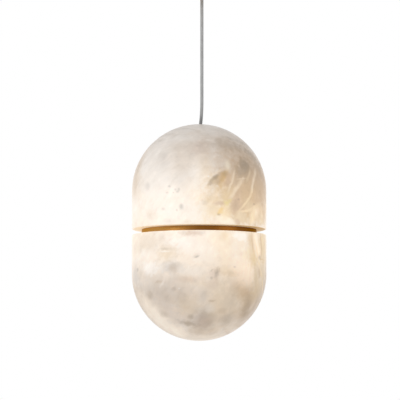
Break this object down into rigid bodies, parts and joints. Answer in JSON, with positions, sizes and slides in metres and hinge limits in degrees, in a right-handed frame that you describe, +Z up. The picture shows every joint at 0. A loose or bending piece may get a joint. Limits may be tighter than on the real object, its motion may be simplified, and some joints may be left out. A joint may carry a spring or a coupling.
{
  "type": "alabaster pendant light",
  "caption": "Pill-shaped pendant light: domed hollow alabaster halves close on a recessed brass band and hang on a slim cord from a round ceiling cup.",
  "frame": {"origin": "middle of the ceiling plate's upper face, which lies against the ceiling", "axes": "+Z up, out of the ceiling plate; +X to the right in the pictured front view; the light hangs below the origin"},
  "size_m": [0.2, 0.2, 0.5515],
  "materials": {
    "alabaster": "polished natural stone with soft grey and amber veins",
    "band_brass": "satin brushed, aged",
    "fitting_brass": "turned, satin",
    "plated_steel": "zinc plated",
    "core_aluminium": "turned",
    "cord_sheath": "smooth grey sheath",
    "silicone": "translucent silicone",
    "opal_cover": "opal",
    "board_white": "white solder mask",
    "led_phosphor": "yellow phosphor",
    "housing_plastic": "fine matt",
    "wire_sheath": "brown and blue sheaths",
    "bush_nylon": "turned nylon"
  },
  "bodies": {
    "ceiling": {"ceiling_plate": "plated_steel", "ball_socket": "fitting_brass", "socket_screws": "plated_steel", "led_driver": "housing_plastic", "driver_screws": "plated_steel", "terminal_block": "housing_plastic", "terminal_screws": "plated_steel", "terminal_fixing_screw": "plated_steel", "earth_screw": "fitting_brass", "supply_grommet": "silicone", "driver_leads": "wire_sheath", "cord_tails": "wire_sheath", "cup_thumb_screws": "fitting_brass"},
    "cup": {"ceiling_cup": "fitting_brass"},
    "cord": {"pendant_cord": "cord_sheath", "upper_ball": "fitting_brass", "lower_ball": "fitting_brass"},
    "swivel": {"swivel_seat": "bush_nylon"},
    "head": {"gland_body": "fitting_brass", "centre_tube": "plated_steel", "tube_washers": "plated_steel", "tube_nuts": "plated_steel", "core_plate": "core_aluminium", "bayonet_stops": "plated_steel", "brass_band": "band_brass", "band_screws": "plated_steel", "upper_gasket": "silicone", "lower_gasket": "silicone", "upper_stone": "alabaster", "top_bush": "bush_nylon", "upper_led_board": "board_white", "lower_led_board": "board_white", "upper_leds": "led_phosphor", "lower_leds": "led_phosphor", "upper_diffuser": "opal_cover", "lower_diffuser": "opal_cover", "board_screws": "plated_steel", "diffuser_screws": "plated_steel", "board_connectors": "housing_plastic", "lamp_leads": "wire_sheath"},
    "bowl": {"lower_skirt": "alabaster", "lower_shoulder": "alabaster", "lower_base": "alabaster", "bowl_ring": "plated_steel"}
  },
  "joints": [
    {"name": "cup_slide", "type": "slide", "parent": "ceiling", "child": "cup", "axis": [0, 0, -1], "range_m": [0, 0.036]},
    {"name": "cord_swing", "type": "hinge", "parent": "ceiling", "child": "cord", "pos_m": [0, 0, -0.022], "axis": [0, 1, 0], "range_deg": [-10, 10]},
    {"name": "pendant_rock", "type": "hinge", "parent": "cord", "child": "swivel", "pos_m": [-0.004, 0, -0.265], "axis": [1, 0, 0], "range_deg": [-6, 6]},
    {"name": "pendant_twist", "type": "hinge", "parent": "swivel", "child": "head", "pos_m": [-0.004, 0, -0.265], "axis": [0, 0, 1], "range_deg": [-180, 180]},
    {"name": "bowl_turn", "type": "hinge", "parent": "head", "child": "bowl", "pos_m": [-0.004, 0, -0.39025], "axis": [0, 0, 1], "range_deg": [0, 60]}
  ]
}
